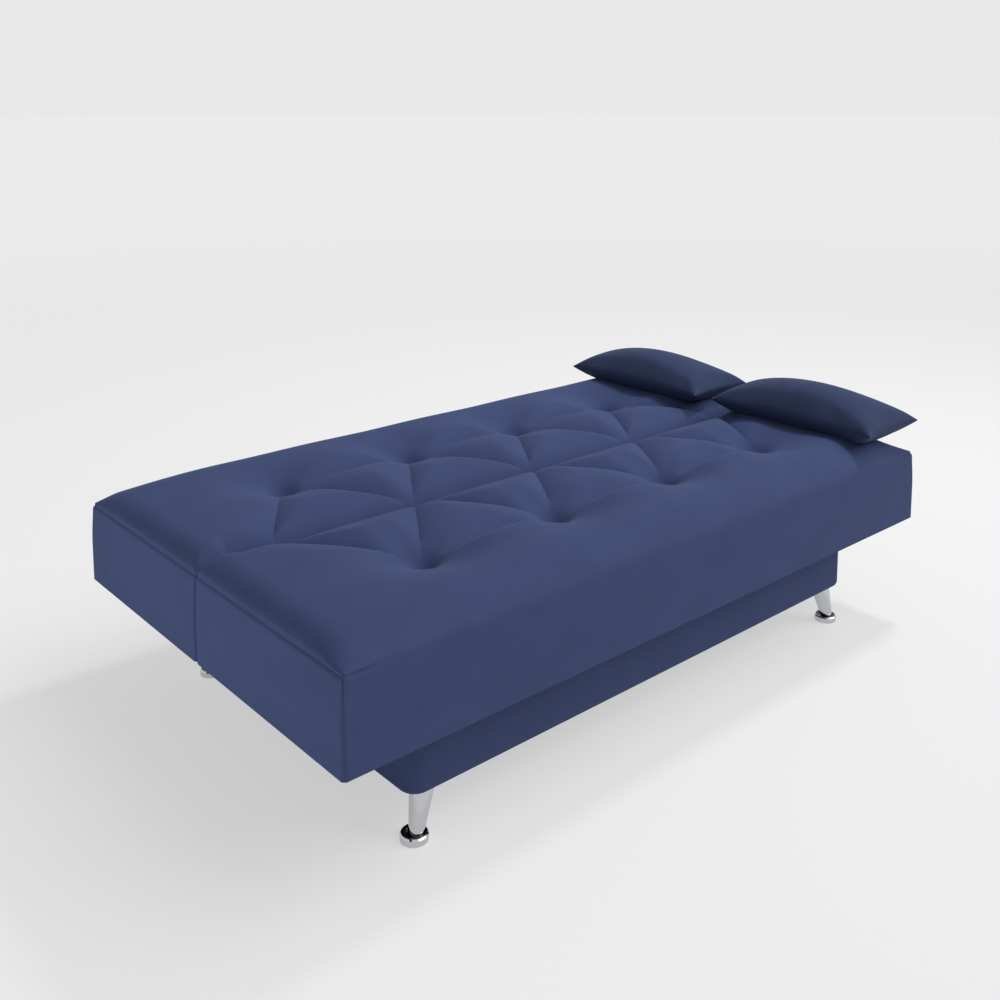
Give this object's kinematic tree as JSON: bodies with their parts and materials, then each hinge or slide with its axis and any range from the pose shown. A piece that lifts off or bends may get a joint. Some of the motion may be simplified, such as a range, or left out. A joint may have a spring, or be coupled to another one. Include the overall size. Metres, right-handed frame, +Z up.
{
  "type": "futon sofa bed",
  "caption": "Click-clack futon sofa bed: two tufted upholstered halves hinged at the split, on a covered plinth with splayed chrome legs and loose pillows; the back half folds up.",
  "frame": {"origin": "on the floor, under the middle of the bed", "axes": "+X along the bed towards the pillows, +Y towards the folding back half, +Z up"},
  "size_m": [1.9145, 1.112, 0.6283],
  "materials": {
    "navy_suede": "matt suede nap",
    "pine": "planed, unfinished",
    "plywood": "unfinished plywood",
    "zinc_steel": "zinc plated",
    "chrome_plate": "polished chrome plate",
    "black_gloss": "gloss moulded",
    "foam": "open-cell foam",
    "webbing": "woven elastic webbing",
    "black_cloth": "non-woven cloth",
    "twine": "waxed twine",
    "glide_felt": "matt glide"
  },
  "bodies": {
    "base": {"base_front_cover": "navy_suede", "base_rear_cover": "navy_suede", "base_left_cover": "navy_suede", "base_right_cover": "navy_suede", "base_long_rails": "plywood", "base_end_rails": "plywood", "base_cross_rails": "pine", "base_corner_posts": "pine", "base_dust_cloth": "black_cloth", "leg_front_left": "chrome_plate", "leg_front_right": "chrome_plate", "leg_rear_left": "chrome_plate", "leg_rear_right": "chrome_plate", "leg_studs": "zinc_steel", "foot_cups": "chrome_plate", "foot_rings": "black_gloss", "foot_pads": "glide_felt", "seat_fixing_bolts": "zinc_steel", "seat_top_pad": "navy_suede", "seat_foam_core": "foam", "seat_front_rail": "pine", "seat_inner_rail": "pine", "seat_end_rails": "pine", "seat_corner_blocks": "pine", "seat_webbing": "webbing", "seat_tuft_ties": "twine", "seat_front_border": "navy_suede", "seat_inner_border": "navy_suede", "seat_left_border": "navy_suede", "seat_right_border": "navy_suede", "seat_cross_rails": "pine", "seat_dust_cloth": "black_cloth", "seat_hinge_arm_left": "zinc_steel", "seat_hinge_arm_right": "zinc_steel", "hinge_pins": "zinc_steel", "seat_hinge_bolts": "zinc_steel", "pawl_spring_left": "zinc_steel", "pawl_spring_right": "zinc_steel"},
    "back": {"back_top_pad": "navy_suede", "back_foam_core": "foam", "back_outer_rail": "pine", "back_inner_rail": "pine", "back_end_rails": "pine", "back_corner_blocks": "pine", "back_webbing": "webbing", "back_tuft_ties": "twine", "back_outer_border": "navy_suede", "back_inner_border": "navy_suede", "back_left_border": "navy_suede", "back_right_border": "navy_suede", "back_cross_rails": "pine", "back_dust_cloth": "black_cloth", "back_hinge_arm_left": "zinc_steel", "back_hinge_arm_right": "zinc_steel", "back_hinge_bolts": "zinc_steel", "hinge_packers": "zinc_steel"},
    "pawl_left": {"pawl_left": "zinc_steel"},
    "pawl_right": {"pawl_right": "zinc_steel"},
    "seat_pillow": {"seat_pillow": "navy_suede"},
    "back_pillow": {"back_pillow": "navy_suede"}
  },
  "joints": [
    {"name": "back_fold", "type": "hinge", "parent": "base", "child": "back", "pos_m": [0, 0, 0.4523], "axis": [1, 0, 0], "range_deg": [0, 70]},
    {"name": "pawl_left_lift", "type": "hinge", "parent": "base", "child": "pawl_left", "pos_m": [-0.9072, -0.03899, 0.41315], "axis": [-1, 0, 0], "range_deg": [0, 12], "stiffness_Nm_per_rad": 0.4, "springref_deg": -11.46, "deforming": ["pawl_spring_left"]},
    {"name": "pawl_right_lift", "type": "hinge", "parent": "base", "child": "pawl_right", "pos_m": [0.9072, -0.03899, 0.41315], "axis": [-1, 0, 0], "range_deg": [0, 12], "stiffness_Nm_per_rad": 0.4, "springref_deg": -11.46, "deforming": ["pawl_spring_right"]},
    {"name": "seat_pillow_lift", "type": "slide", "parent": "base", "child": "seat_pillow", "axis": [0, -0.8, 0.6], "range_m": [0, 0.3]},
    {"name": "back_pillow_shift", "type": "slide", "parent": "back", "child": "back_pillow", "axis": [0, 1, 0], "range_m": [0, 0.08]}
  ],
  "couplings": [
    {"joint": "back_pillow_shift", "follows": "back_fold", "m_per_rad": 0.06548}
  ]
}
